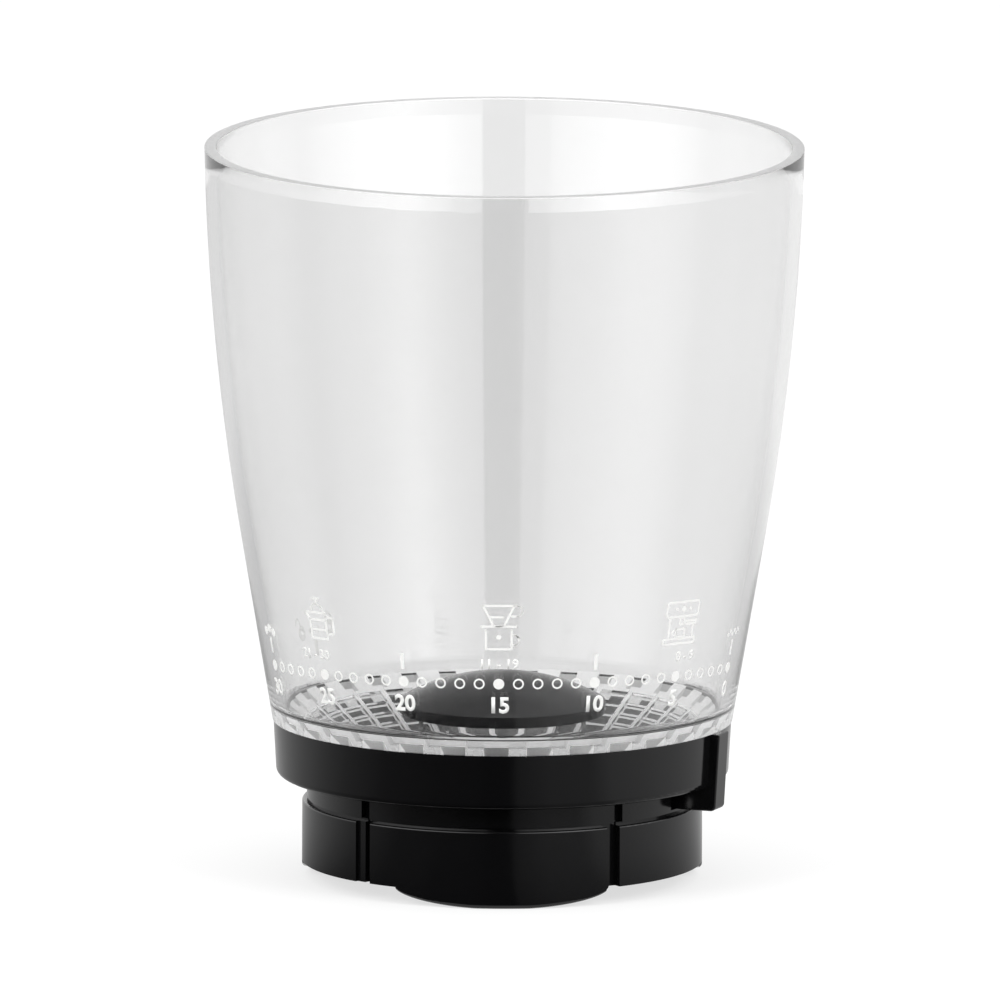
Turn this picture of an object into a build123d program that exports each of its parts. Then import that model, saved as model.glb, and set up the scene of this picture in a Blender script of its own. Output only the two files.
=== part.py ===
from build123d import *

import os
from math import asin, cos, degrees, hypot, radians, sin, sqrt, tan

# Bean hopper of a coffee grinder: a clear bowl with a ribbed funnel floor on a black bayonet base.
# +Z is up, the origin lies on the axis at the level that the feet stand on, and the front faces -Y.
# Azimuths are degrees from the front towards +X. Lengths are millimetres.

# Heights, from the feet up
foot_drop = 3.7  # feet below the ring's lower edge
ring_height = 13.3
shadow_gap = 0.6  # open outer part of the joint between ring and neck
neck_height = 5.0  # neck that shows below the skirt
skirt_height = 12.1
bowl_height = 125.3  # from the skirt's top to the rim

# Bowl wall
base_radius = 49.8  # outside, where the wall stands on the skirt
rim_radius = 65.0  # outside
flare_angle = 9.8  # of the straight lower wall, from the vertical
flare_height = 40.3  # of that straight part
bowl_wall = 2.55
rim_round = 0.2

# Funnel floor and outlet spout
floor_rise = 3.8  # edge of the floor above the skirt's top
funnel_angle = 39.0  # below the horizontal
funnel_wall = 1.1
throat_radius = 19.5
spout_wall = 2.0
spout_length = 6.0

# Ribs and rings under the funnel
rib_count = 32
rib_azimuth = 4.0  # of the first one
rib_wall = 1.3
rib_depth = 1.4
rib_length = 22.0  # inwards from the spigot
pad_width = 3.9  # of the broad outer end of a rib
pad_length = 3.0
pad_depth = 3.36
lattice_count = 4
lattice_pitch = 2.3
lattice_inset = 3.9  # middle of the outermost ring inside the spigot
lattice_wall = 0.5
lattice_depth = 0.8

# Lap joint between bowl and skirt
spigot_length = 3.0
spigot_wall = 1.3
lip_wall = 1.0
lap_clearance = 0.1
seat_clearance = 0.2

# Collar
skirt_step = 0.2  # skirt's top inside the bowl's foot
skirt_draft = 0.7  # radius lost towards the skirt's lower edge
skirt_wall = 2.6
skirt_round = 1.5
deck_wall = 2.0
deck_clearance = 0.3
spout_clearance = 0.25
skirt_overhang = 6.6  # skirt's lower edge beyond the neck
neck_wall = 2.5
neck_grooves = (-44.4, 36.4)  # azimuths
neck_groove_width = 2.4
neck_groove_depth = 1.5

# Drive lug on the collar
lug_azimuth = 68.5
lug_width = 5.7
lug_reach = 2.0  # beyond the skirt, at the top
lug_draft = 1.0  # radius lost towards its lower end
lug_bottom_gap = 0.2  # above the neck's lower edge
lug_round = 1.2
lug_edge_round = 0.4
slot_width = 3.6  # of the window in the neck beside the lug
slot_sill = 0.5  # neck that is left below the window

# Bayonet ring
ring_step = 1.0  # ring beyond the neck
ring_wall = 2.8
ring_round = 0.4
land_wall = 1.2  # part of the ring that carries the neck
ring_grooves = ((-44.2, 4.2, 0.8), (-42.7, 2.0, 2.0), (33.9, 3.3, 2.0))  # azimuth, width and depth

# Feet of the ring
foot_count = 3
foot_half_angle = 32.3
foot_flat = 0.12  # cut off the tip, so that the feet stand on flats
foot_round = 0.8

# Screws between ring and collar
screw_count = 3
screw_azimuth = 60.0  # of the first one
screw_radius = 1.45
screw_length = 7.0
screw_clearance = 0.15
pilot_clearance = 0.05
pilot_spare = 0.4
head_radius = 2.8
head_height = 1.9
head_round = 0.9
recess_width = 0.9
recess_length = 3.4
recess_depth = 1.1
boss_radius = 3.6
boss_sink = 0.6  # boss merged into the neck's wall
ear_wall = 2.6

# Bean guard
guard_overhang = 2.9  # band beyond the throat
guard_rise = 6.1  # crown above the band
guard_band = 2.4
guard_wall = 2.0
guard_height = 20.5  # way for the beans between throat and band

# Posts of the bowl that carry the guard
post_count = 3
post_azimuth = 60.0  # of the first one
post_wall = 2.0
post_depth = 5.5  # inwards from the throat
post_clearance = 0.15

weld = 0.6  # depth to which the features of one moulding are run into each other

# Levels
ring_bottom = foot_drop
ring_top = ring_bottom + ring_height
neck_bottom = ring_top + shadow_gap
skirt_bottom = neck_bottom + neck_height
skirt_top = skirt_bottom + skirt_height
rim_top = skirt_top + bowl_height
floor_edge = skirt_top + floor_rise
spigot_end = skirt_top - spigot_length
seat_level = spigot_end - seat_clearance

# Radii that follow
flare = radians(flare_angle)
floor_radius = base_radius + floor_rise * tan(flare) - bowl_wall / cos(flare)
skirt_top_radius = base_radius - skirt_step
skirt_bottom_radius = skirt_top_radius - skirt_draft
skirt_inner_radius = skirt_bottom_radius - skirt_wall
lip_inner_radius = skirt_top_radius - lip_wall
spigot_radius = lip_inner_radius - lap_clearance
spigot_inner_radius = spigot_radius - spigot_wall
rib_inner_radius = spigot_inner_radius - rib_length
lattice_radius = spigot_inner_radius - lattice_inset
spout_radius = throat_radius + spout_wall
neck_radius = skirt_bottom_radius - skirt_overhang
neck_inner_radius = neck_radius - neck_wall
ring_radius = neck_radius + ring_step
ring_inner_radius = ring_radius - ring_wall
screw_circle = neck_inner_radius - boss_radius + boss_sink
guard_radius = throat_radius + guard_overhang
guard_inner_radius = guard_radius - guard_wall
post_inner_radius = throat_radius - post_depth
post_radius = guard_inner_radius - post_clearance

# Surfaces parallel to the funnel's top, as heights below it
funnel_slope = tan(radians(funnel_angle))
funnel_under = funnel_wall / cos(radians(funnel_angle))
deck_top = funnel_under + pad_depth + deck_clearance
deck_under = deck_top + deck_wall / cos(radians(funnel_angle))
deck_middle = (deck_top + deck_under) / 2


def funnel_height(radius, below=0.0):
    """Height of the funnel's top at a radius, or of a surface that lies parallel below it."""
    return floor_edge - (floor_radius - radius) * funnel_slope - below


def funnel_radius(height, below=0.0):
    """Radius at which the funnel's top, or a surface parallel below it, has a height."""
    return floor_radius - (floor_edge - below - height) / funnel_slope


def section(outline):
    """Face in the plane of +X and +Z, from a closed outline of radius and height."""
    return Plane.XZ * make_face(outline)


def turned(outline):
    """Solid turned about the axis."""
    return revolve(section(outline), Axis.Z)


def plate(outline, thickness):
    """Radial plate along +X."""
    return extrude(section(outline), thickness / 2, both=True)


def facing(azimuth):
    """Turns what is drawn along +X round to an azimuth."""
    return Rot(0, 0, azimuth - 90)


def around(shape, count, first=0.0):
    """Copies of a shape drawn along +X, evenly round the axis."""
    return [facing(first + 360 * i / count) * shape for i in range(count)]


def standing(radius, height):
    """Cylinder that stands on the origin."""
    return Cylinder(radius, height, align=(Align.CENTER, Align.CENTER, Align.MIN))


def groove(radius, depth, width, low, high):
    """Cutter for an upright groove in the outside of a round wall, along +X."""
    cutter = Box(2 * depth, width, high - low, align=(Align.MIN, Align.CENTER, Align.MIN))
    return Pos(radius - depth, 0, low) * cutter


throat_edge = funnel_height(throat_radius)
spout_end = throat_edge - spout_length

# Sphere of the guard's crown
band_low = throat_edge + guard_height
band_high = band_low + guard_band
crown_radius = (guard_radius**2 + guard_rise**2) / (2 * guard_rise)
crown_centre = band_high + guard_rise - crown_radius
crown_inner_radius = crown_radius - guard_wall


def bowl_wall_outline():
    """Wall, funnel, spout and spigot as one moulded section."""
    upwards = (sin(flare), cos(flare))
    foot = (base_radius, skirt_top)
    bend = (base_radius + flare_height * tan(flare), skirt_top + flare_height)
    bend_inside = (bend[0] - bowl_wall * cos(flare), bend[1] + bowl_wall * sin(flare))
    rim = (rim_radius, rim_top)
    rim_inside = (rim_radius - bowl_wall, rim_top)
    underside = Polyline(
        bend_inside,
        (floor_radius, floor_edge),
        (throat_radius, throat_edge),
        (throat_radius, spout_end),
        (spout_radius, spout_end),
        (spout_radius, funnel_height(spout_radius, funnel_under)),
        (spigot_inner_radius, funnel_height(spigot_inner_radius, funnel_under)),
        (spigot_inner_radius, spigot_end),
        (spigot_radius, spigot_end),
        (spigot_radius, skirt_top),
        foot,
    )
    return [
        Line(foot, bend),
        TangentArc(bend, rim, tangent=upwards),
        Line(rim, rim_inside),
        TangentArc(bend_inside, rim_inside, tangent=upwards),
        underside,
    ]


def funnel_strip(inner, outer, depth):
    """Outline of a strip under the funnel, run into the funnel's wall at its top."""
    return Polyline(
        (inner, funnel_height(inner, funnel_under - weld)),
        (outer, funnel_height(outer, funnel_under - weld)),
        (outer, funnel_height(outer, funnel_under + depth)),
        (inner, funnel_height(inner, funnel_under + depth)),
        close=True,
    )


def under_crown(radius):
    """Level of a post's top at a radius, just below the inside of the guard."""
    return crown_centre + sqrt(crown_inner_radius**2 - radius**2) - post_clearance


def guard_post():
    """Post from the wall of the spout up to the guard, along +X."""
    outline = Polyline(
        (post_inner_radius, spout_end),
        (post_radius, spout_end),
        (post_radius, under_crown(post_radius)),
        (post_inner_radius, under_crown(post_inner_radius)),
        close=True,
    )
    return plate(outline, post_wall)


def hopper_bowl():
    wall = make_face(bowl_wall_outline())
    wall = fillet(wall.vertices().group_by(Axis.Y)[-1], rim_round)
    bowl = revolve(Plane.XZ * wall, Axis.Z)
    rib_end = spigot_inner_radius + weld
    rib = plate(funnel_strip(rib_inner_radius, rib_end, rib_depth), rib_wall)
    rib += plate(funnel_strip(spigot_inner_radius - pad_length, rib_end, pad_depth), pad_width)
    rings = []
    for i in range(lattice_count):
        inner = lattice_radius - i * lattice_pitch - lattice_wall / 2
        rings.append(turned(funnel_strip(inner, inner + lattice_wall, lattice_depth)))
    posts = around(guard_post(), post_count, post_azimuth)
    return bowl + rings + around(rib, rib_count, rib_azimuth) + posts


def collar_section():
    outline = [
        (skirt_top_radius, skirt_top),
        (lip_inner_radius, skirt_top),
        (lip_inner_radius, seat_level),
        (funnel_radius(seat_level, deck_top), seat_level),
        (spout_radius + spout_clearance, funnel_height(spout_radius + spout_clearance, deck_top)),
        (spout_radius + spout_clearance, funnel_height(spout_radius + spout_clearance, deck_under)),
        (neck_inner_radius, funnel_height(neck_inner_radius, deck_under)),
        (neck_inner_radius, neck_bottom),
        (neck_radius, neck_bottom),
        (neck_radius, funnel_height(neck_radius, deck_under)),
        (skirt_inner_radius, funnel_height(skirt_inner_radius, deck_under)),
        (skirt_inner_radius, skirt_bottom),
        (skirt_bottom_radius, skirt_bottom),
    ]
    sharp = [0] * (len(outline) - 1)
    return FilletPolyline(outline, radius=sharp + [skirt_round], close=True)


def drive_lug():
    """Lug across the skirt with a web to the neck, along +X. It stays under the bowl's spigot."""
    bottom = neck_bottom + lug_bottom_gap
    lug_top_radius = skirt_top_radius + lug_reach
    root = neck_radius - weld
    lip_middle = skirt_top_radius - lip_wall / 2
    outline = [
        (root, bottom),
        (lug_top_radius - lug_draft, bottom),
        (lug_top_radius, skirt_top),
        (lip_middle, skirt_top),
        (lip_middle, seat_level - weld),
        (skirt_inner_radius, funnel_height(skirt_inner_radius, deck_middle)),
        (root, funnel_height(root, deck_middle)),
    ]
    lug = plate(FilletPolyline(outline, radius=[0, lug_round, 0, 0, 0, 0, 0], close=True), lug_width)
    return fillet(lug.faces().sort_by(Axis.X)[-1].edges(), lug_edge_round)


def screw_boss():
    """Boss under the deck, along +X, cut off inside the deck's wall."""
    reach = screw_circle + 2 * boss_radius
    below_deck = turned(
        Polyline(
            (funnel_radius(neck_bottom, deck_middle), neck_bottom),
            (reach, neck_bottom),
            (reach, funnel_height(reach, deck_middle)),
            close=True,
        )
    )
    tall = standing(boss_radius, skirt_top - neck_bottom)
    return (Pos(screw_circle, 0, neck_bottom) * tall) & below_deck


def base_collar():
    collar = turned(collar_section()) + around(screw_boss(), screw_count, screw_azimuth)
    collar += facing(lug_azimuth) * drive_lug()
    low = neck_bottom - weld
    high = skirt_bottom + weld
    cutter = groove(neck_radius, neck_groove_depth, neck_groove_width, low, high)
    collar -= [facing(azimuth) * cutter for azimuth in neck_grooves]
    slot = groove(neck_radius, neck_wall + weld, slot_width, neck_bottom + slot_sill, high)
    slot_azimuth = lug_azimuth - degrees((lug_width + slot_width) / 2 / neck_radius)
    collar -= facing(slot_azimuth) * slot
    pilot = standing(screw_radius + pilot_clearance, screw_length - ear_wall + pilot_spare)
    return collar - around(Pos(screw_circle, 0, neck_bottom) * pilot, screw_count, screw_azimuth)


def ring_section():
    """Wall of the ring, with the land that carries the neck."""
    land_radius = ring_inner_radius + land_wall
    outline = [
        (ring_inner_radius, ring_bottom),
        (ring_radius, ring_bottom),
        (ring_radius, ring_top),
        (land_radius, ring_top),
        (land_radius, neck_bottom),
        (ring_inner_radius, neck_bottom),
    ]
    return FilletPolyline(outline, radius=[0, 0, ring_round, 0, 0, 0], close=True)


def outside_edge(edge):
    """Whether an edge lies on the ring's outside, nearer to it than to the middle of the wall."""
    middle = edge @ 0.5
    return hypot(middle.X, middle.Y) > ring_radius - ring_wall / 4


def ring_foot():
    """Tongue of the ring's wall, along +X: half an ellipse below the ring's lower edge, run up into the ring."""
    half_width = ring_radius * sin(radians(foot_half_angle))
    top = ring_bottom + weld
    drop = foot_drop + foot_flat
    tip = EllipticalCenterArc((0, ring_bottom), half_width, drop, start_angle=180, arc_size=180)
    sides = Polyline(tip @ 0, (-half_width, top), (half_width, top), tip @ 1)
    tongue = extrude(Plane.YZ * make_face([tip, sides]), 2 * ring_radius)
    foot = tongue & (standing(ring_radius, top) - standing(ring_inner_radius, top))
    outside = foot.edges().filter_by(outside_edge).sort_by(Axis.Z)
    return fillet(outside[:-1], foot_round)


def screw_ear():
    """Ear inside the ring for one screw, along +X, with its top level with the land."""
    reach = ring_inner_radius + weld - screw_circle
    arm = Box(reach, 2 * boss_radius, ear_wall, align=(Align.MIN, Align.CENTER, Align.MIN))
    return Pos(screw_circle, 0, neck_bottom - ear_wall) * (standing(boss_radius, ear_wall) + arm)


def bayonet_ring():
    ring = turned(ring_section()) + around(ring_foot(), foot_count)
    ring += around(screw_ear(), screw_count, screw_azimuth)
    hole = Cylinder(screw_radius + screw_clearance, 2 * ear_wall)
    ring -= around(Pos(screw_circle, 0, neck_bottom - ear_wall) * hole, screw_count, screw_azimuth)
    for azimuth, width, depth in ring_grooves:
        ring -= facing(azimuth) * groove(ring_radius, depth, width, 0, neck_bottom)
    return ring


def ring_screw():
    """Pan head screw that points up, with its head's face against an ear."""
    head_level = neck_bottom - ear_wall
    outline = [
        (0, head_level - head_height),
        (head_radius, head_level - head_height),
        (head_radius, head_level),
        (screw_radius, head_level),
        (screw_radius, head_level + screw_length),
        (0, head_level + screw_length),
    ]
    screw = turned(FilletPolyline(outline, radius=[0, head_round, 0, 0, 0, 0], close=True))
    slot = Pos(0, 0, head_level - head_height) * Box(recess_length, recess_width, 2 * recess_depth)
    return screw - slot - Rot(0, 0, 90) * slot


def bean_guard():
    outer_angle = degrees(asin(guard_radius / crown_radius))
    inner_angle = degrees(asin(guard_inner_radius / crown_inner_radius))
    outer_arc = CenterArc((0, crown_centre), crown_radius, 90 - outer_angle, outer_angle)
    inner_arc = CenterArc((0, crown_centre), crown_inner_radius, 90 - inner_angle, inner_angle)
    band = Polyline(inner_arc @ 0, (guard_inner_radius, band_low), (guard_radius, band_low), outer_arc @ 0)
    return turned([outer_arc, band, inner_arc, Line(inner_arc @ 1, outer_arc @ 1)])


def ring_screws():
    screws = around(Pos(screw_circle, 0, 0) * ring_screw(), screw_count, screw_azimuth)
    return Compound([screw.solid() for screw in screws])


os.makedirs("parts", exist_ok=True)
for piece in (hopper_bowl, base_collar, bayonet_ring, bean_guard, ring_screws):
    export_step(piece(), f"parts/{piece.__name__}.step")
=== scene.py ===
# %% [markdown]
# # Bean hopper of a coffee grinder
# The solids of the hopper come ready from the CAD side: a clear bowl, a black collar, a bayonet ring,
# a bean guard and three screws. This lesson gives them their finish, turns the clear bowl finely
# enough for light to run through it cleanly, and adds the white print that is only ink.

# %% Load the solids
from math import cos, hypot, pi, radians, sin, sqrt, tan

import bmesh
import bpy
from mathutils import Matrix, Vector


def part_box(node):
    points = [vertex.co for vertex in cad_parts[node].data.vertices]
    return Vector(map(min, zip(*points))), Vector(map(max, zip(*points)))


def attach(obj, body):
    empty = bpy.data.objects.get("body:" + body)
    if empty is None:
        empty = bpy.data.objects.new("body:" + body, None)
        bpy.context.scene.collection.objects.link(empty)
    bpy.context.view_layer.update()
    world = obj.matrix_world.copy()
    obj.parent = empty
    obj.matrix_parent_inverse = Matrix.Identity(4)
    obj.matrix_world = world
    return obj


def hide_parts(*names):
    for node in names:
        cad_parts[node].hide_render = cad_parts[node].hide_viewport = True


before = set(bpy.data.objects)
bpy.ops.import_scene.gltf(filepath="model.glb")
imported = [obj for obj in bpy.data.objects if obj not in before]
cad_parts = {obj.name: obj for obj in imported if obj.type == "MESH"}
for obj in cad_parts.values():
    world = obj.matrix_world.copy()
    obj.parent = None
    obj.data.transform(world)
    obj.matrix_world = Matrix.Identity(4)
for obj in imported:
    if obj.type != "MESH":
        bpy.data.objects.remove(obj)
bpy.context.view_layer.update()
MM = 0.001

# %% [markdown]
# ## Where the bowl stands
# The scene measures the solids instead of repeating what they already say: the skirt's top is where
# the clear wall starts, the bowl's box gives its rim and the end of its spout. Lengths are in
# millimetres until a finished mesh is scaled to metres.

# %% Levels from the solids
skirt_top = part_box("base_collar")[1].z / MM
rim_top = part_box("hopper_bowl")[1].z / MM
spout_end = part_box("hopper_bowl")[0].z / MM
rim_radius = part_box("hopper_bowl")[1].x / MM
print(f"Skirt's top {skirt_top:.2f}, rim {rim_top:.2f} and spout's end {spout_end:.2f} mm above the table")

# %% [markdown]
# ## The bowl's wall
# The real bowl is one injection moulding. Its lower wall is a straight cone, and from there it bends
# in one long arc until it is nearly upright at the rim, which is cut flat with two small rounds. The
# arc starts in line with the cone, so its radius follows from the two points that it joins.

# %% Profile of the wall
base_radius = 49.8
bowl_wall = 2.55
rim_round = 0.2
flare = radians(9.8)
flare_height = 40.3
bend_level = skirt_top + flare_height
bend_radius = base_radius + flare_height * tan(flare)


def arc_above(foot, top):
    """Centre and radius of the arc that leaves a foot point along the flare and ends at a top point."""
    across = top[0] - foot[0]
    up = top[1] - foot[1]
    radius = (across**2 + up**2) / (2 * (up * sin(flare) - across * cos(flare)))
    return (foot[0] - radius * cos(flare), foot[1] + radius * sin(flare)), radius


def on_arc(arc, level):
    """Radius of an arc of the wall at a level."""
    (x, z), radius = arc
    return x + sqrt(radius**2 - (level - z) ** 2)


outer_arc = arc_above((bend_radius, bend_level), (rim_radius, rim_top))
inner_bend = (bend_radius - bowl_wall * cos(flare), bend_level + bowl_wall * sin(flare))
inner_arc = arc_above(inner_bend, (rim_radius - bowl_wall, rim_top))


def wall_radius(level):
    """Outside radius of the bowl at a level."""
    if level < bend_level:
        return base_radius + (level - skirt_top) * tan(flare)
    return on_arc(outer_arc, level)


print(f"Wall's arc has a radius of {outer_arc[1]:.0f} mm outside and {inner_arc[1]:.0f} mm inside")

# %% [markdown]
# ## The funnel floor
# Inside the bowl a cone leads the beans to the spout, and a round joins it to the wall. Rings and ribs
# under it stiffen the moulding. Seen from above, each of them is a line of light on the dark deck below.
# The rings are turned with the bowl, so they are steps in the same profile.

# %% Profile of the funnel, the rings and the spigot
floor_rise = 3.8
floor_round = 3.5
funnel_tilt = radians(39.0)
funnel_wall = 1.1
funnel_slope = tan(funnel_tilt)
funnel_under = funnel_wall / cos(funnel_tilt)  # straight down from its top to its underside
throat_radius = 19.5
spout_radius = 21.5
spigot_radius = 48.5
spigot_inner_radius = 47.2
spigot_depth = 3.0
spigot_end = skirt_top - spigot_depth
lattice_count = 4
lattice_radius = 43.3  # of the outermost ring
lattice_pitch = 2.3
lattice_radii = [lattice_radius - lattice_pitch * i for i in range(lattice_count)]
lattice_wall = 0.5
lattice_depth = 0.8
arc_step = 15  # degrees between the points of a small arc
floor_edge = skirt_top + floor_rise
floor_radius = base_radius + floor_rise * tan(flare) - bowl_wall / cos(flare)


def funnel_level(radius, below=0.0):
    """Level of the funnel's top at a radius, or of a surface that lies parallel below it."""
    return floor_edge - (floor_radius - radius) * funnel_slope - below


def lattice_steps():
    """Underside of the funnel from the spout outwards, with its rings."""
    points = []
    for middle in reversed(lattice_radii):
        inner = middle - lattice_wall / 2
        outer = middle + lattice_wall / 2
        points.append((inner, funnel_level(inner, funnel_under)))
        points.append((inner, funnel_level(inner, funnel_under + lattice_depth)))
        points.append((outer, funnel_level(outer, funnel_under + lattice_depth)))
        points.append((outer, funnel_level(outer, funnel_under)))
    return points


def ring_of(centre, radius, start=0, sweep=360):
    """Points round a centre, from a start angle over a sweep in degrees."""
    steps = round(abs(sweep) / arc_step)
    ends = steps if sweep == 360 else steps + 1
    turns = [radians(start + sweep * i / steps) for i in range(ends)]
    return [(centre[0] + radius * cos(t), centre[1] + radius * sin(t)) for t in turns]


def rounded_corner(before, corner, after, radius):
    """Points of the round that takes the place of a corner between two straight lines."""
    corner = Vector(corner)
    to_before = (Vector(before) - corner).normalized()
    to_after = (Vector(after) - corner).normalized()
    half = to_before.angle(to_after) / 2
    middle = corner + (to_before + to_after).normalized() * radius / sin(half)
    first = corner + to_before * radius / tan(half) - middle
    last = corner + to_after * radius / tan(half) - middle
    steps = 8
    points = [middle + first.slerp(last, i / steps) * radius for i in range(steps + 1)]
    return [(point.x, point.y) for point in points]


def bowl_profile():
    """Closed section of the bowl as points of radius and level."""
    steps = 20
    round_level = rim_top - rim_round
    wall_levels = [bend_level + (round_level - bend_level) * i / steps for i in range(steps)]
    inner_levels = [inner_bend[1] + (round_level - inner_bend[1]) * i / steps for i in range(steps)]
    outside = [(base_radius, skirt_top)] + [(on_arc(outer_arc, z), z) for z in wall_levels]
    rim = ring_of((rim_radius - rim_round, round_level), rim_round, 0, 90)
    rim += ring_of((rim_radius - bowl_wall + rim_round, round_level), rim_round, 90, 90)
    inside = [(on_arc(inner_arc, z), z) for z in reversed(inner_levels)]
    throat = (throat_radius, funnel_level(throat_radius))
    funnel = rounded_corner(inside[-1], (floor_radius, floor_edge), throat, floor_round)
    funnel += [
        throat,
        (throat_radius, spout_end),
        (spout_radius, spout_end),
        (spout_radius, funnel_level(spout_radius, funnel_under)),
    ]
    spigot = [
        (spigot_inner_radius, funnel_level(spigot_inner_radius, funnel_under)),
        (spigot_inner_radius, spigot_end),
        (spigot_radius, spigot_end),
        (spigot_radius, skirt_top),
    ]
    return outside + rim + inside + funnel + lattice_steps() + spigot


print("The bowl's section has", len(bowl_profile()), "points")

# %% [markdown]
# ## Turning a section
# A spin of a closed chain of edges gives a closed ring. The doubles at the seam are merged by the
# operator, and the normals are worked out afresh because a spin can leave them inside out.

# %% Helpers that turn and finish a mesh
def chain(bm, points):
    """Closed chain of edges in the plane of X and Z."""
    verts = [bm.verts.new((radius, 0, level)) for radius, level in points]
    return [bm.edges.new((a, b)) for a, b in zip(verts, verts[1:] + verts[:1])]


def turn(bm, edges, steps):
    """Spins edges once round the upright axis."""
    verts = list({vert for edge in edges for vert in edge.verts})
    bmesh.ops.spin(
        bm, geom=verts + edges, cent=(0, 0, 0), axis=(0, 0, 1), angle=2 * pi, steps=steps, use_merge=True
    )
    bmesh.ops.recalc_face_normals(bm, faces=bm.faces[:])


def as_object(bm, name, scale=MM):
    """Object at the origin from a mesh in millimetres."""
    bmesh.ops.scale(bm, vec=(scale, scale, scale), verts=bm.verts[:])
    mesh = bpy.data.meshes.new(name)
    bm.to_mesh(mesh)
    bm.free()
    made = bpy.data.objects.new(name, mesh)
    bpy.context.scene.collection.objects.link(made)
    return made


def soft_edges(made, angle):
    """Smooth shading that stays sharp at edges over an angle in degrees."""
    made.data.shade_smooth()
    made.data.set_sharp_from_angle(angle=radians(angle))


# %% [markdown]
# ## Ribs, pads and posts
# Thirty-two ribs run inwards under the funnel, and each ends at the spigot in a broad, deep pad. Three
# posts in the throat carry the guard. None of them can be turned, so each is drawn once as a radial
# plate, copied round the axis with a spin that duplicates, and joined to the bowl with an exact Boolean,
# because clear plastic shows every face that is left inside it.

# %% Radial plates
rib_count = 32
rib_azimuth = 4.0  # of the first one, from the front towards +X
rib_wall = 1.3
rib_depth = 1.4
rib_length = 22.0
pad_width = 3.9
pad_length = 3.0
pad_depth = 3.36
post_count = 3
post_azimuth = 60.0
post_wall = 2.0
post_inner_radius = 14.0
post_radius = 20.25
post_inner_top = 39.95
post_top = 37.15
weld = 0.6  # depth to which the ribs run into the funnel and the wall


def strip(length, depth):
    """Outline of a strip under the funnel, inwards from the spigot."""
    inner = spigot_inner_radius - length
    outer = spigot_inner_radius + weld
    top = [(radius, funnel_level(radius, funnel_under - weld)) for radius in (inner, outer)]
    return top + [(radius, funnel_level(radius, funnel_under + depth)) for radius in (outer, inner)]


def radial_plates(name, outline, wall, count, azimuth):
    """Plates of one outline of radius and level, evenly round the axis."""
    bm = bmesh.new()
    side = bm.faces.new([bm.verts.new((radius, -wall / 2, level)) for radius, level in outline])
    grown = bmesh.ops.extrude_face_region(bm, geom=[side], use_keep_orig=True)["geom"]
    moved = [item for item in grown if isinstance(item, bmesh.types.BMVert)]
    bmesh.ops.translate(bm, vec=(0, wall, 0), verts=moved)
    bmesh.ops.recalc_face_normals(bm, faces=bm.faces[:])
    first = Matrix.Rotation(radians(azimuth - 90), 3, "Z")
    bmesh.ops.rotate(bm, cent=(0, 0, 0), matrix=first, verts=bm.verts[:])
    bmesh.ops.spin(
        bm,
        geom=bm.verts[:] + bm.edges[:] + bm.faces[:],
        cent=(0, 0, 0),
        axis=(0, 0, 1),
        angle=2 * pi * (count - 1) / count,
        steps=count - 1,
        use_duplicate=True,
    )
    return as_object(bm, name, 1.0)


# %% [markdown]
# ## One clear moulding
# The plates join the turned bowl one set after the other. Then the faces are sorted by finish: the tool
# is polished, apart from the margin with the pads, the edges of the ribs and rings, the outside of the
# spigot, which is roughened for the bond, and the cut of the rim. The bowl lets light pass on its way
# from a lamp to a matt surface, as clear plastic does.

# %% Clear bowl
bowl_steps = 224  # flats round the bowl
crease_angle = 28  # degrees, over which an edge stays sharp
spigot_play = 0.05  # how far a flat face's middle may lie off the surface that it belongs to
spout_play = 0.1
pad_play = 0.02
funnel_play = 0.06
facing_down = -0.5  # upward share of a normal, below which a face looks down


def joined(base, added):
    """Object's mesh after an exact union with another object, which is used up."""
    union = base.modifiers.new("joint", "BOOLEAN")
    union.operation = "UNION"
    union.solver = "EXACT"
    union.object = added
    shown = base.evaluated_get(bpy.context.evaluated_depsgraph_get())
    mesh = bpy.data.meshes.new_from_object(shown)
    base.modifiers.clear()
    base.data = mesh
    bpy.data.objects.remove(added)


def finish_of(face):
    """2 for the rim's cut, 1 for margin, spigot and the edge of a rib or a ring, 0 for the rest."""
    centre = face.calc_center_median()
    if centre.z > rim_top - rim_round:
        return 2
    radius = hypot(centre.x, centre.y)
    on_spigot = radius > spigot_radius - spigot_play and centre.z < skirt_top - spigot_play
    under_funnel = spout_radius + spout_play < radius < spigot_inner_radius - pad_play
    depth = funnel_level(radius, funnel_under) - centre.z
    on_margin = radius > lattice_radius + lattice_wall / 2 and depth > -funnel_play
    on_edge = depth > funnel_play and face.normal.z < facing_down
    return int(on_spigot or under_funnel and (on_margin or on_edge))


def clear_bowl():
    bm = bmesh.new()
    turn(bm, chain(bm, bowl_profile()), bowl_steps)
    made = as_object(bm, "bowl_turned", 1.0)
    post = [(post_inner_radius, spout_end), (post_radius, spout_end)]
    post += [(post_radius, post_top), (post_inner_radius, post_inner_top)]
    joined(made, radial_plates("ribs", strip(rib_length, rib_depth), rib_wall, rib_count, rib_azimuth))
    joined(made, radial_plates("pads", strip(pad_length, pad_depth), pad_width, rib_count, rib_azimuth))
    joined(made, radial_plates("posts", post, post_wall, post_count, post_azimuth))
    bm = bmesh.new()
    bm.from_mesh(made.data)
    bpy.data.objects.remove(made)
    for face in bm.faces:
        face.material_index = finish_of(face)
    open_edges = sum(not edge.is_manifold for edge in bm.edges)
    made = as_object(bm, "clear_bowl")
    soft_edges(made, crease_angle)
    satin = sum(face.material_index == 1 for face in made.data.polygons)
    print("Clear bowl:", len(made.data.polygons), "faces,", satin, "satin,", open_edges, "open edges")
    return made


bowl = clear_bowl()
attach(bowl, "root")
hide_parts("hopper_bowl")
bowl.visible_diffuse = False
bowl.visible_shadow = False

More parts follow.
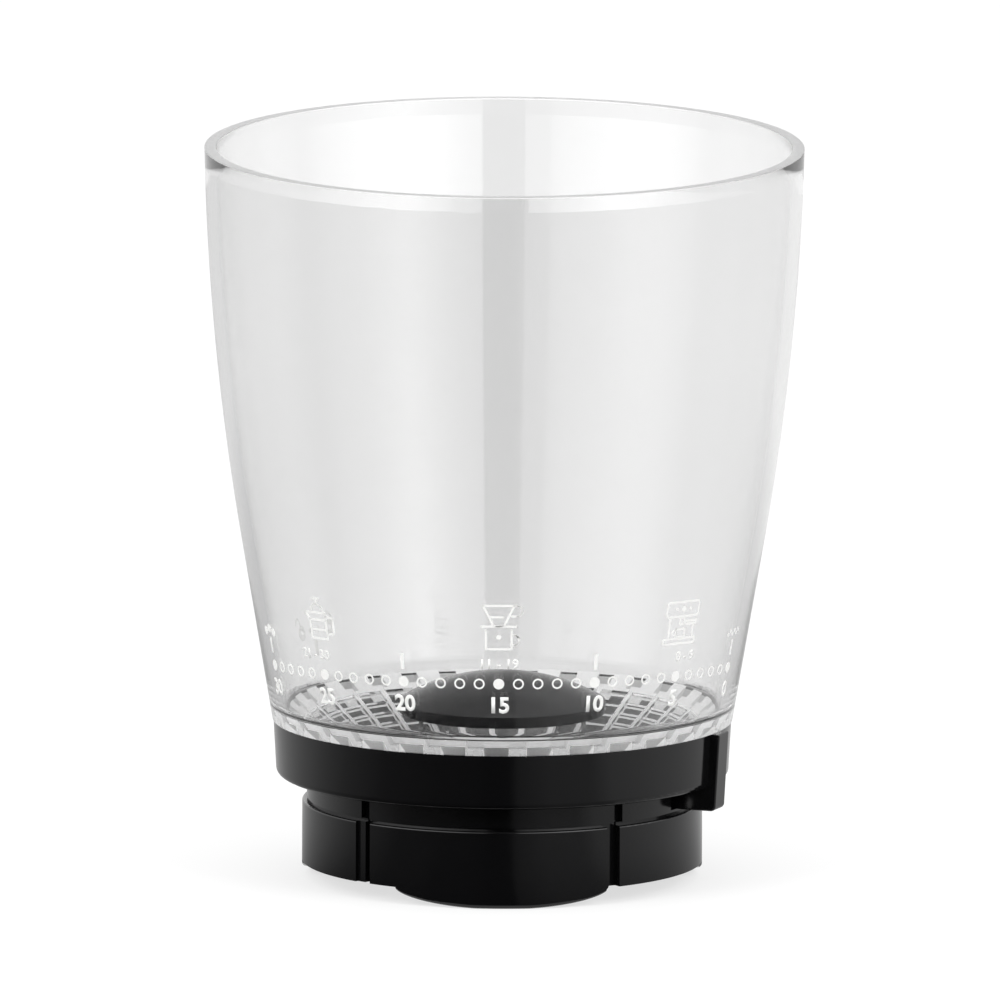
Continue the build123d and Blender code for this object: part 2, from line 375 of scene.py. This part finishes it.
# %% [markdown]
# ## The print
# The scale on the wall is screen printed ink, a few hundredths of a millimetre thick. It is drawn flat
# on a sheet, x along the wall and y up, given its thickness and then wrapped on to the cone. Each mark
# is a real shape, so that it keeps its edge at any distance.

# %% Marks on a sheet of print
print_radius = 52.7  # wall's radius at the row of dots, where the sheet is true to size
figure_share = 0.7  # height of a figure in the built-in font, as a share of the font's size


def along(azimuth):
    """Place on the sheet of an azimuth in degrees, from the front towards +X."""
    return radians(azimuth) * print_radius


def patch(sheet, points):
    """Filled shape inside a closed outline."""
    face = sheet.faces.new([sheet.verts.new((x, y, 0)) for x, y in points])
    face.normal_update()
    return face


def disc(sheet, x, y, radius):
    """Filled dot."""
    patch(sheet, ring_of((x, y), radius))


def frame_of(sheet, points, width):
    """Line of a width along the inside of a closed outline."""
    face = patch(sheet, points)
    bmesh.ops.inset_region(sheet, faces=[face], thickness=width, use_boundary=True, use_even_offset=True)
    bmesh.ops.delete(sheet, geom=[face], context="FACES_ONLY")


def loop(sheet, x, y, radius, width):
    """Hollow dot."""
    frame_of(sheet, ring_of((x, y), radius), width)


def bar(sheet, start, end, width):
    """Straight stroke from one point to another."""
    a, b = Vector(start), Vector(end)
    side = (b - a).normalized().orthogonal() * width / 2
    patch(sheet, [a - side, b - side, b + side, a + side])


def stroke(sheet, points, width):
    """Line along points, with round ends and joints."""
    for start, end in zip(points, points[1:]):
        bar(sheet, start, end, width)
    for x, y in points:
        disc(sheet, x, y, width / 2)


def number(sheet, text, x, y, height, swell):
    """Figures centred on a point, of a height, made heavier by a swell of their outline."""
    curve = bpy.data.curves.new("figures", "FONT")
    curve.body = text
    curve.align_x = "CENTER"
    curve.align_y = "CENTER"
    curve.size = height / figure_share
    curve.offset = swell
    curve.resolution_u = 4
    flat = bpy.data.objects.new("figures", curve)
    bpy.context.scene.collection.objects.link(flat)
    shown = flat.evaluated_get(bpy.context.evaluated_depsgraph_get())
    mesh = bpy.data.meshes.new_from_object(shown)
    mesh.transform(Matrix.Translation((x, y, 0)))
    sheet.from_mesh(mesh)
    bpy.data.objects.remove(flat)
    bpy.data.curves.remove(curve)
    bpy.data.meshes.remove(mesh)


# %% [markdown]
# ## Wrapping the ink
# A long flat face would cut the corner of the round wall, so the sheet is first divided every millimetre
# and a half. Then each point is carried from the sheet to the cone. The ink keeps a hair's breadth off
# the wall, so that its back is lit through the plastic like a thing behind glass.

# %% Wrap of a sheet
cut_spacing = 1.5
ink_low = 0.01
ink_high = 0.06


def wrapped(sheet, name, sag=0.0):
    """Ink of a flat sheet, wrapped on to the bowl. A sag is how far it drops at a quarter turn."""
    places = [vert.co.x for vert in sheet.verts]
    for i in range(int(min(places) / cut_spacing), int(max(places) / cut_spacing) + 1):
        geometry = sheet.verts[:] + sheet.edges[:] + sheet.faces[:]
        bmesh.ops.bisect_plane(sheet, geom=geometry, plane_co=(i * cut_spacing, 0, 0), plane_no=(1, 0, 0))
    grown = bmesh.ops.extrude_face_region(sheet, geom=sheet.faces[:], use_keep_orig=True)["geom"]
    raised = {item for item in grown if isinstance(item, bmesh.types.BMVert)}
    for vert in sheet.verts:
        azimuth = vert.co.x / print_radius
        level = vert.co.y - sag * (1 - cos(azimuth))
        radius = wall_radius(level) + (ink_high if vert in raised else ink_low)
        vert.co = (radius * sin(azimuth), -radius * cos(azimuth), level)
    bmesh.ops.recalc_face_normals(sheet, faces=sheet.faces[:])
    made = as_object(sheet, name)
    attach(made, "root")
    print(name, len(made.data.polygons), "faces")
    return made


# %% [markdown]
# ## The scale
# Thirty-one settings run round the front, one dot each. Every fifth dot is filled and has its number
# below. Four upright lines part three ranges, and each range has its first and last number above the
# dots. Large grains stand at the coarse end and small ones at the fine end.

# %% Dots, numbers and lines of the scale
scale_middle = -0.9  # azimuth of setting 15
dot_step = 4.63  # degrees
dot_level = 51.1
dot_radius = 1.2
dot_line = 0.36
number_level = 46.1
number_height = 3.4
number_swell = 0.17
parting_low = 53.9
parting_high = 57.4
parting_line = 0.75
range_level = 55.5
range_height = 2.1
range_swell = 0.06
grain_level = 58.6
print_sag = 3.0


def on_scale(setting):
    """Place on the sheet of a setting. The settings run from right to left."""
    return along(scale_middle + (15 - setting) * dot_step)


def grains(sheet, setting, count, radius, pitch, hop):
    """Row of grains over a setting, every other one a little higher."""
    for i in range(count):
        x = on_scale(setting) + pitch * (i - (count - 1) / 2)
        disc(sheet, x, grain_level + hop * (i % 2), radius)


def scale_print():
    sheet = bmesh.new()
    for setting in range(31):
        if setting % 5 == 0:
            disc(sheet, on_scale(setting), dot_level, dot_radius)
        else:
            loop(sheet, on_scale(setting), dot_level, dot_radius, dot_line)
    for setting in (0, 10, 20, 30):
        x = on_scale(setting)
        bar(sheet, (x, parting_low), (x, parting_high), parting_line)
    grains(sheet, 30, count=3, radius=0.95, pitch=2.2, hop=0.7)
    grains(sheet, 0, count=6, radius=0.45, pitch=1.1, hop=0.8)
    return wrapped(sheet, "print_scale", print_sag)


def number_print():
    sheet = bmesh.new()
    for setting in range(0, 31, 5):
        number(sheet, str(setting), on_scale(setting), number_level, number_height, number_swell)
    for first, last in ((0, 9), (11, 19), (21, 30)):
        middle = on_scale((first + last) / 2)
        number(sheet, f"{first} - {last}", middle, range_level, range_height, range_swell)
    return wrapped(sheet, "print_numbers", print_sag)


ink = [scale_print(), number_print()]

# %% [markdown]
# ## Signs of the three ranges
# Above each range stands a plain line sign for the way of brewing that it suits: a machine for the fine
# settings, a cone filter over a mug for the middle and a plunger pot for the coarse ones. Each is drawn
# from places beside its middle and levels on the wall, in strokes of one width.

# %% Signs
sign_line = 0.48


def rounded(left, low, right, high, radius):
    """Outline of an upright rectangle with round corners."""
    points = ring_of((right - radius, high - radius), radius, 0, 90)
    points += ring_of((left + radius, high - radius), radius, 90, 90)
    points += ring_of((left + radius, low + radius), radius, 180, 90)
    return points + ring_of((right - radius, low + radius), radius, 270, 90)


def filter_sign(sheet, x):
    cone = [(x - 3.2, 68.8), (x - 1.1, 64.2), (x + 1.1, 64.2), (x + 3.2, 68.8), (x - 3.2, 68.8)]
    stroke(sheet, cone, sign_line)
    stroke(sheet, [(x - 1.9, 66.2), (x + 0.9, 66.2)], sign_line)
    grip = ring_of((x + 3.7, 67.6), 1.2, -90, 180)
    stroke(sheet, [(x + 2.7, 66.4)] + grip + [(x + 3.2, 68.8)], sign_line)
    stroke(sheet, [(x - 3.6, 64.1), (x + 3.6, 64.1)], sign_line)
    stroke(sheet, [(x - 2.7, 63.2), (x - 2.7, 59.0), (x + 2.7, 59.0), (x + 2.7, 63.2)], sign_line)
    handle = ring_of((x + 3.2, 61.0), 1.1, 90, -180)
    stroke(sheet, [(x + 2.7, 62.1)] + handle + [(x + 2.7, 59.9)], sign_line)
    disc(sheet, x, 61.7, 0.55)


def machine_sign(sheet, x):
    frame_of(sheet, rounded(x - 4.9, 64.4, x + 4.9, 68.1, 0.9), sign_line)
    for place, radius in ((-2.0, 0.35), (0, 0.65), (2.0, 0.35)):
        disc(sheet, x + place, 66.3, radius)
    stroke(sheet, [(x - 3.6, 64.4), (x - 3.6, 60.1)], sign_line)
    stroke(sheet, [(x + 3.4, 62.5), (x + 3.4, 60.1)], sign_line)
    frame_of(sheet, rounded(x - 0.9, 62.6, x + 0.8, 64.6, 0.3), sign_line)
    frame_of(sheet, rounded(x + 0.6, 62.6, x + 4.6, 63.7, 0.4), sign_line)
    cup = [(x - 1.6, 61.8), (x - 1.6, 60.0), (x + 1.0, 60.0), (x + 1.0, 61.8), (x - 1.6, 61.8)]
    stroke(sheet, cup, sign_line)
    loop(sheet, x - 2.0, 61.0, 0.75, 0.35)
    frame_of(sheet, rounded(x - 5.2, 58.3, x + 4.6, 59.9, 0.6), sign_line)


def plunger_sign(sheet, x):
    stroke(sheet, [(x - 0.8, 68.2), (x + 0.8, 68.2)], sign_line)
    stroke(sheet, [(x, 68.2), (x, 66.9)], sign_line)
    stroke(sheet, ring_of((x, 65.0), 1.9, 0, 180), sign_line)
    pot = [(x - 3.6, 65.0), (x + 2.4, 65.0), (x + 2.4, 59.2), (x - 2.4, 59.2), (x - 2.4, 63.4)]
    stroke(sheet, pot, sign_line)
    stroke(sheet, [(x - 2.4, 63.4), (x - 3.6, 65.0)], sign_line)
    stroke(sheet, [(x + 2.4, 64.3), (x + 4.4, 63.9), (x + 4.4, 60.6), (x + 2.4, 60.2)], sign_line)
    for level in (63.4, 61.2):
        stroke(sheet, [(x - 2.4, level), (x + 2.4, level)], sign_line)


def sign_print():
    sheet = bmesh.new()
    plunger_sign(sheet, on_scale(25))
    filter_sign(sheet, on_scale(15))
    machine_sign(sheet, on_scale(5))
    return wrapped(sheet, "print_signs", print_sag)


ink.append(sign_print())

# %% [markdown]
# ## Lock marks
# Round the back, over the edge of the skirt, an open and a closed lock with an arrow between them and an
# upright pointer show how the hopper is turned on its machine. Seen from the front they show through
# the bowl, the other way round.

# %% Lock marks at the back
lock_azimuth = -124.3
lock_level = 48.2
lock_spread = 5.9  # of each lock from the arrow's middle
lock_radius = 1.7
lock_line = 1.1
shackle_radius = 1.15
shackle_rise = 2.1
shackle_foot = 1.3
shackle_line = 0.6
open_lean = 1.6
arrow_tip = 2.6
arrow_head = 1.3
arrow_shaft = 1.8
arrow_line = 0.55
pointer_low = 42.4
pointer_high = 46.0
pointer_line = 0.9


def lock_sign(sheet, x, lean):
    """Round lock. A lean carries its shackle off to one side, as when it is open."""
    loop(sheet, x, lock_level, lock_radius, lock_line)
    shackle = ring_of((x + lean, lock_level + shackle_rise), shackle_radius, 0, 180)
    if not lean:
        shackle = [(shackle[0][0], lock_level + shackle_foot)] + shackle
    stroke(sheet, shackle + [(shackle[-1][0], lock_level + shackle_foot)], shackle_line)


def lock_print():
    sheet = bmesh.new()
    x = along(lock_azimuth)
    lock_sign(sheet, x - lock_spread, 0.0)
    lock_sign(sheet, x + lock_spread, open_lean)
    stroke(sheet, [(x - arrow_shaft, lock_level), (x + arrow_shaft, lock_level)], arrow_line)
    for way in (-1, 1):
        tip = x + arrow_tip * way
        back = tip - arrow_head * way
        patch(sheet, [(tip, lock_level), (back, lock_level + way), (back, lock_level - way)])
    bar(sheet, (x, pointer_low), (x, pointer_high), pointer_line)
    return wrapped(sheet, "print_lock")


ink.append(lock_print())

# %% [markdown]
# ## Colours and nodes
# Colours are written as the screen shows them and turned to the linear values that a shader needs.
# One small function adds a node, sets its properties and fills its sockets, either with a value or
# with another node's output.

# %% Helpers for materials
def linear(code):
    """Linear colour of an sRGB hex code."""
    channels = [int(code[i : i + 2], 16) / 255 for i in (1, 3, 5)]
    return [c / 12.92 if c <= 0.04045 else ((c + 0.055) / 1.055) ** 2.4 for c in channels] + [1.0]


def add_node(tree, kind, inputs=(), **settings):
    """Adds a node; an input is a value or the socket that feeds it."""
    node = tree.nodes.new(kind)
    for name, value in settings.items():
        setattr(node, name, value)
    for name, value in dict(inputs).items():
        if isinstance(value, bpy.types.NodeSocket):
            tree.links.new(value, node.inputs[name])
        else:
            node.inputs[name].default_value = value
    return node


def new_material(name):
    material = bpy.data.materials.new(name)
    material.use_nodes = True
    material.node_tree.nodes.clear()
    return material, material.node_tree


# %% [markdown]
# ## Clear plastic
# The bowl is a clear copolyester, injection moulded in a polished tool. It bends light a little more
# than window glass does. The plastic takes up a little light on its way, which hardly shows through one
# wall and darkens the rim and the sides, where the eye looks along the wall. A very faint waviness is
# left by the flow of the melt.

# %% Clear copolyester, moulded
def clear_copolyester():
    material, tree = new_material("clear_copolyester_moulded")
    place = add_node(tree, "ShaderNodeTexCoord")
    flow = add_node(
        tree, "ShaderNodeTexNoise", {"Vector": place.outputs["Object"], "Scale": 1 / (18 * MM)}
    )
    wave = add_node(
        tree, "ShaderNodeBump", {"Height": flow.outputs[0], "Strength": 0.25, "Distance": 0.05 * MM}
    )
    body = add_node(
        tree,
        "ShaderNodeBsdfPrincipled",
        {
            "Base Color": linear("#EFEFEF"),
            "Roughness": 0.012,
            "IOR": 1.57,
            "Transmission Weight": 1.0,
            "Normal": wave.outputs["Normal"],
        },
    )
    depth = add_node(
        tree, "ShaderNodeVolumeAbsorption", {"Color": linear("#CCCCCC"), "Density": 12.0}
    )
    add_node(
        tree,
        "ShaderNodeOutputMaterial",
        {"Surface": body.outputs["BSDF"], "Volume": depth.outputs["Volume"]},
    )
    return material


# %% [markdown]
# ## Satin plastic
# The margin, the ribs and the rings are cut into the tool by spark erosion and aren't polished, so the
# same plastic is satin there, as it is on the roughened spigot: it scatters light instead of letting it
# through, and shines pale against the dark deck. The texture is a fine grain of a few tenths of a
# millimetre, drawn a little coarser so that it shows. The cut of the rim is finer and lets more light
# through.

# %% Clear copolyester, satin
def satin_copolyester(name, through):
    """Satin plastic that lets a share of the light through."""
    material, tree = new_material(name)
    place = add_node(tree, "ShaderNodeTexCoord")
    grain = add_node(
        tree,
        "ShaderNodeTexNoise",
        {"Vector": place.outputs["Object"], "Scale": 1 / (0.7 * MM), "Detail": 3.0},
    )
    spread = add_node(
        tree,
        "ShaderNodeMapRange",
        {"Value": grain.outputs[0], "From Min": 0.3, "From Max": 0.7, "To Min": 0.35, "To Max": 0.6},
    )
    body = add_node(
        tree,
        "ShaderNodeBsdfPrincipled",
        {
            "Base Color": linear("#FBFBFB"),
            "Roughness": spread.outputs["Result"],
            "IOR": 1.57,
            "Transmission Weight": through,
        },
    )
    add_node(tree, "ShaderNodeOutputMaterial", {"Surface": body.outputs["BSDF"]})
    return material


# %% [markdown]
# ## Black plastic
# Collar, ring and guard are black ABS, moulded glossy. The eye sees almost no colour, only what the
# surface mirrors, so the finish is in its gloss: fine wear from handling makes it vary a little, and
# the wall sinks very slightly over the ribs behind it.

# %% Black ABS, moulded glossy
def black_abs():
    material, tree = new_material("black_abs_moulded")
    place = add_node(tree, "ShaderNodeTexCoord")
    wear = add_node(
        tree,
        "ShaderNodeTexNoise",
        {"Vector": place.outputs["Object"], "Scale": 1 / (9 * MM), "Detail": 4.0},
    )
    gloss = add_node(
        tree,
        "ShaderNodeMapRange",
        {"Value": wear.outputs[0], "From Min": 0.3, "From Max": 0.7, "To Min": 0.09, "To Max": 0.15},
    )
    sink = add_node(
        tree, "ShaderNodeBump", {"Height": wear.outputs[0], "Strength": 0.15, "Distance": 0.03 * MM}
    )
    body = add_node(
        tree,
        "ShaderNodeBsdfPrincipled",
        {
            "Base Color": linear("#0A0A0B"),
            "Roughness": gloss.outputs["Result"],
            "IOR": 1.45,
            "Normal": sink.outputs["Normal"],
        },
    )
    add_node(tree, "ShaderNodeOutputMaterial", {"Surface": body.outputs["BSDF"]})
    return material


# %% [markdown]
# ## Ink and steel
# The ink is a matt white that lies on the wall in one thin coat, and its cover varies a little with the
# mesh of the screen. The screws are zinc plated steel, turned and then tumbled, so they are dull with
# fine marks.

# %% Screen printed ink and zinc plated steel
def white_ink():
    material, tree = new_material("white_ink_screen_printed")
    place = add_node(tree, "ShaderNodeTexCoord")
    cover = add_node(
        tree, "ShaderNodeTexNoise", {"Vector": place.outputs["Object"], "Scale": 1 / (0.8 * MM)}
    )
    tone = add_node(tree, "ShaderNodeValToRGB", {"Fac": cover.outputs[0]})
    tone.color_ramp.elements[0].color = linear("#EDEDEB")
    tone.color_ramp.elements[1].color = linear("#FCFCFA")
    body = add_node(
        tree,
        "ShaderNodeBsdfPrincipled",
        {"Base Color": tone.outputs["Color"], "Roughness": 0.45, "IOR": 1.5},
    )
    add_node(tree, "ShaderNodeOutputMaterial", {"Surface": body.outputs["BSDF"]})
    return material


def zinc_steel():
    material, tree = new_material("zinc_plated_steel_tumbled")
    place = add_node(tree, "ShaderNodeTexCoord")
    marks = add_node(
        tree,
        "ShaderNodeTexNoise",
        {"Vector": place.outputs["Object"], "Scale": 1 / (0.4 * MM), "Detail": 3.0},
    )
    dull = add_node(
        tree, "ShaderNodeMapRange", {"Value": marks.outputs[0], "To Min": 0.28, "To Max": 0.46}
    )
    body = add_node(
        tree,
        "ShaderNodeBsdfPrincipled",
        {"Base Color": linear("#C4C6C8"), "Metallic": 1.0, "Roughness": dull.outputs["Result"]},
    )
    add_node(tree, "ShaderNodeOutputMaterial", {"Surface": body.outputs["BSDF"]})
    return material


def dress(made, material):
    made.data.materials.clear()
    made.data.materials.append(material)


plastic = black_abs()
for node in ("base_collar", "bayonet_ring", "bean_guard"):
    dress(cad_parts[node], plastic)
dress(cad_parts["ring_screws"], zinc_steel())
bowl.data.materials.append(clear_copolyester())
bowl.data.materials.append(satin_copolyester("clear_copolyester_spark_texture", 0.3))
bowl.data.materials.append(satin_copolyester("clear_copolyester_fine_cut", 0.65))
white = white_ink()
for piece in ink:
    dress(piece, white)
print("Dressed", len(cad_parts) + len(ink), "pieces")

# %% [markdown]
# ## Floor and light
# A white sheet stands for the table. It is lit by an even white sky and by two large soft lamps, high in
# front on the left and the right, and keeps the soft shadow of the hopper. The eye, and what is mirrored
# or seen through the plastic, gets just enough glow added to make the unshaded sheet plain white. That
# glow lights nothing else. The lamps aren't mirrored, because the cards of the next step do that work.

# %% White table, sky and lamps
lamp_size = 1.2
lamp_power = 30.0
lamp_side = 1.7
lamp_front = 1.4
lamp_level = 1.3


def seen_rays(tree):
    """1 for rays of the eye, of mirrored and of clear surfaces, and 0 for those that carry light."""
    path = add_node(tree, "ShaderNodeLightPath")
    mirrored = add_node(
        tree,
        "ShaderNodeMath",
        {0: path.outputs["Is Glossy Ray"], 1: path.outputs["Is Transmission Ray"]},
        operation="MAXIMUM",
    )
    return add_node(
        tree,
        "ShaderNodeMath",
        {0: path.outputs["Is Camera Ray"], 1: mirrored.outputs[0]},
        operation="MAXIMUM",
    ).outputs[0]


def table_sheet():
    table_white = 0.3
    table_glow = 0.67
    table_reach = 5000  # from its middle to each side
    bm = bmesh.new()
    bmesh.ops.create_grid(bm, x_segments=1, y_segments=1, size=table_reach)
    sheet = as_object(bm, "table_sheet")
    material, tree = new_material("white_table_sheet")
    lit = add_node(tree, "ShaderNodeBsdfDiffuse", {"Color": [table_white] * 3 + [1.0]})
    share = add_node(tree, "ShaderNodeMath", {0: seen_rays(tree), 1: table_glow}, operation="MULTIPLY")
    glow = add_node(tree, "ShaderNodeEmission", {"Strength": share.outputs[0]})
    both = add_node(tree, "ShaderNodeAddShader", {0: lit.outputs[0], 1: glow.outputs[0]})
    add_node(tree, "ShaderNodeOutputMaterial", {"Surface": both.outputs[0]})
    dress(sheet, material)


def white_sky():
    world = bpy.data.worlds.new("white_sky")
    bpy.context.scene.world = world
    world.use_nodes = True
    tree = world.node_tree
    tree.nodes.clear()
    sky = add_node(tree, "ShaderNodeBackground", {"Color": linear("#FFFFFF"), "Strength": 1.0})
    add_node(tree, "ShaderNodeOutputWorld", {"Surface": sky.outputs[0]})


def soft_lamp(name, place):
    """Large soft lamp, high in front, that fills a side turned to the eye."""
    data = bpy.data.lights.new(name, "AREA")
    data.size = lamp_size
    data.energy = lamp_power
    lamp = bpy.data.objects.new(name, data)
    bpy.context.scene.collection.objects.link(lamp)
    place = Vector(place)
    lamp.location = place
    lamp.rotation_euler = place.to_track_quat("Z", "Y").to_euler()
    lamp.visible_glossy = False
    lamp.visible_transmission = False


table_sheet()
white_sky()
soft_lamp("left_lamp", (-lamp_side, -lamp_front, lamp_level))
soft_lamp("right_lamp", (lamp_side, -lamp_front, lamp_level))

# %% [markdown]
# ## Cards
# Glossy black and clear plastic show their shape only by what they mirror. As in a studio, cards lie and
# stand all round the hopper, dark in front and lighter to the sides, and one hangs above it. They are
# there for mirrored rays alone, so they aren't in the picture, not even behind the clear wall, and don't
# shade the table. Each point of a card has its own tone, so that a card can fade from one side to the
# other. Their places are in metres.

# %% Cards round the hopper
def card_paper():
    """Plain paper that glows by its tone after a mirrored ray, and is open to all others."""
    material, tree = new_material("studio_card")
    path = add_node(tree, "ShaderNodeLightPath")
    mirrored = add_node(
        tree, "ShaderNodeMath", {0: path.outputs["Glossy Depth"], 1: 0.5}, operation="GREATER_THAN"
    )
    tone = add_node(tree, "ShaderNodeAttribute", attribute_name="tone")
    shade = add_node(tree, "ShaderNodeEmission", {"Strength": tone.outputs["Fac"]})
    way_through = add_node(tree, "ShaderNodeBsdfTransparent")
    sheet = add_node(
        tree,
        "ShaderNodeMixShader",
        {0: mirrored.outputs[0], 1: way_through.outputs[0], 2: shade.outputs[0]},
    )
    add_node(tree, "ShaderNodeOutputMaterial", {"Surface": sheet.outputs[0]})
    return material


paper = card_paper()


def card(name, tones, reach):
    """Card from a tone for each azimuth, and points of radius, level and share of the tone along each."""
    bm = bmesh.new()
    tone_layer = bm.verts.layers.float.new("tone")
    columns = []
    for azimuth, tone in tones:
        turned = radians(azimuth)
        column = []
        for radius, level, share in reach:
            vert = bm.verts.new((radius * sin(turned), -radius * cos(turned), level))
            vert[tone_layer] = tone * share
            column.append(vert)
        columns.append(column)
    for left, right in zip(columns, columns[1:]):
        for i in range(len(reach) - 1):
            bm.faces.new((left[i], right[i], right[i + 1], left[i + 1]))
    made = as_object(bm, name, 1.0)
    dress(made, paper)
    for kind in ("camera", "diffuse", "shadow"):
        setattr(made, f"visible_{kind}", False)


card_level = 0.0005  # just clear of the table
card_radius = 0.9
card_middle = 0.15
card_top = 0.7
top_card_tone = 1.5
top_card_level = 1.5
top_card_hole = 0.01
top_card_radius = 0.7
low_tones = [
    (-180, 0.75),
    (-155, 0.8),
    (-140, 0.8),
    (-110, 0.8),
    (-98, 0.75),
    (-75, 0.4),
    (-53, 0.13),
    (-28, 0.04),
    (-9, 0.02),
    (-7, 0.0),
    (4, 0.0),
    (6, 0.2),
    (20, 0.4),
    (39, 0.45),
    (48, 0.8),
    (75, 1.0),
    (110, 1.0),
    (140, 0.95),
    (180, 0.95),
]
# The low card is darker near the hopper: painted shadow, the hopper's shadow on the table as a mirror
# would show it.
low_painted_shadow_shares = [(0.045, 0.4), (0.1, 0.65), (0.17, 0.75), (0.3, 0.8), (0.5, 1.0), (card_radius, 1.0)]
low_reach = [(radius, card_level, share) for radius, share in low_painted_shadow_shares]
high_tones = [
    (-180, 0.95),
    (-145, 0.95),
    (-120, 1.1),
    (-95, 1.6),
    (-69, 2.7),
    (-47, 3.0),
    (-26, 2.2),
    (-20, 1.8),
    (-18.5, 1.2),
    (-9, 1.1),
    (-8, 0.0),
    (8.5, 0.0),
    (9.5, 1.8),
    (22, 2.6),
    (41, 4.2),
    (64, 2.6),
    (88, 1.6),
    (115, 1.1),
    (145, 0.9),
    (155, 0.8),
    (180, 0.75),
]
high_reach = [(card_radius, level, 1.0) for level in (card_level, card_middle, card_top)]
top_tones = [(90 * i, top_card_tone) for i in range(5)]
top_reach = [(radius, top_card_level, 1.0) for radius in (top_card_hole, top_card_radius)]
card("low_card", low_tones, low_reach)
card("high_card", high_tones, high_reach)
card("top_card", top_tones, top_reach)

# %% [markdown]
# ## Camera
# The hopper is seen from a little above and as if from far away: rim, skirt and foot look equally flat.
# A camera without perspective shows them so. Light crosses many clear walls on its way to it, so it is
# followed over more bounces than usual.

# %% Camera
camera_rise = radians(9.75)
camera_roll = radians(0.2)
camera_distance = 3.0
target = Vector((-0.0007, 0, 0.0825))
camera_data = bpy.data.cameras.new("camera")
camera_data.type = "ORTHO"
camera_data.ortho_scale = 0.2165  # metres across the picture
camera = bpy.data.objects.new("camera", camera_data)
bpy.context.scene.collection.objects.link(camera)
away = Vector((0, -cos(camera_rise), sin(camera_rise)))
camera.location = target + away * camera_distance
upright = (-away).to_track_quat("-Z", "Y").to_matrix()
camera.rotation_euler = (upright @ Matrix.Rotation(camera_roll, 3, "Z")).to_euler()
bpy.context.scene.camera = camera
bpy.context.scene.view_settings.view_transform = "Standard"
bpy.context.scene.cycles.max_bounces = 18
bpy.context.scene.cycles.transmission_bounces = 18
bpy.context.scene.cycles.glossy_bounces = 10
print(f"Camera shows {camera_data.ortho_scale / MM:.1f} mm across")
